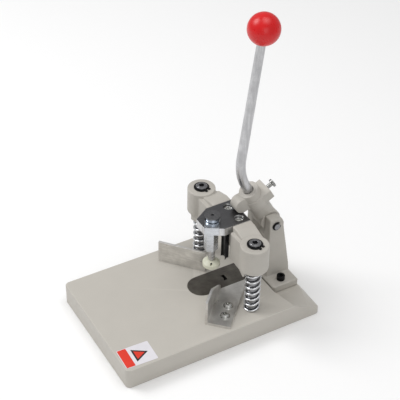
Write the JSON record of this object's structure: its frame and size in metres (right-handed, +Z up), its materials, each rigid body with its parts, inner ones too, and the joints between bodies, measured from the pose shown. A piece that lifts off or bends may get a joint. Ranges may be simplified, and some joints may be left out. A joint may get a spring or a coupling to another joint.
{
  "type": "corner rounder",
  "caption": "Hand-lever corner rounder: a crosshead sliding on posts over a heavy table drives a corner blade and a sprung presser, with a bent lever and ball knob behind.",
  "frame": {"origin": "centre of the base's underside", "axes": "+Z up, +Y towards the back, where the lever bracket stands, +X to the operator's right"},
  "size_m": [0.168, 0.26, 0.3786],
  "materials": {
    "grey_paint": "satin",
    "plate_steel": "satin",
    "die_steel": "ground",
    "black_steel": "black oxide",
    "bright_steel": "ground",
    "chrome": "polished",
    "aluminium": "satin",
    "bronze": "satin",
    "dark_cap": "satin",
    "ivory_plastic": "satin",
    "red_plastic": "gloss",
    "label_film": "satin"
  },
  "bodies": {
    "base": {"base_plate": "grey_paint", "lower_die": "die_steel", "lower_die_screws": "black_steel", "post_left": "bright_steel", "post_right": "bright_steel", "circlip_left": "black_steel", "circlip_right": "black_steel", "return_spring_left": "chrome", "return_spring_right": "chrome", "fence_left": "aluminium", "fence_right": "aluminium", "fence_screws": "bright_steel", "fence_washers": "bright_steel", "lever_bracket": "grey_paint", "bracket_screws": "black_steel", "pivot_pin": "bright_steel", "pivot_circlips": "black_steel", "warning_label": "label_film"},
    "crosshead": {"crosshead": "grey_paint", "bush_left": "bronze", "bush_right": "bronze", "die_plate": "plate_steel", "die_plate_screws": "bright_steel", "upper_blade": "black_steel", "blade_screws": "black_steel", "presser_bracket": "aluminium", "presser_screws": "black_steel", "presser_sleeve": "chrome", "presser_cap": "dark_cap", "presser_spring": "chrome"},
    "presser": {"presser_pin": "bright_steel", "presser_foot": "ivory_plastic", "foot_grub_screw": "black_steel"},
    "lever": {"lever_head": "grey_paint", "lever_bush": "bronze", "lever_rod": "bright_steel", "clamp_bolt": "bright_steel", "ball_knob": "red_plastic"}
  },
  "joints": [
    {"name": "lever_hinge", "type": "hinge", "parent": "base", "child": "lever", "pos_m": [0, 0.0995, 0.1045], "axis": [1, 0, 0], "range_deg": [0, 46.35]},
    {"name": "crosshead_slide", "type": "slide", "parent": "base", "child": "crosshead", "axis": [0, 0, -1], "range_m": [0, 0.036], "stiffness_N_per_m": 9000, "springref_m": -0.006, "deforming": ["return_spring_left", "return_spring_right"]},
    {"name": "presser_slide", "type": "slide", "parent": "crosshead", "child": "presser", "axis": [0, 0, 1], "range_m": [0, 0.0066], "stiffness_N_per_m": 1500, "springref_m": -0.004, "deforming": ["presser_spring"]}
  ],
  "couplings": [
    {"joint": "crosshead_slide", "follows": "lever_hinge", "m_per_rad": 0.04388},
    {"joint": "presser_slide", "follows": "lever_hinge", "m_per_rad": 0.00791}
  ]
}
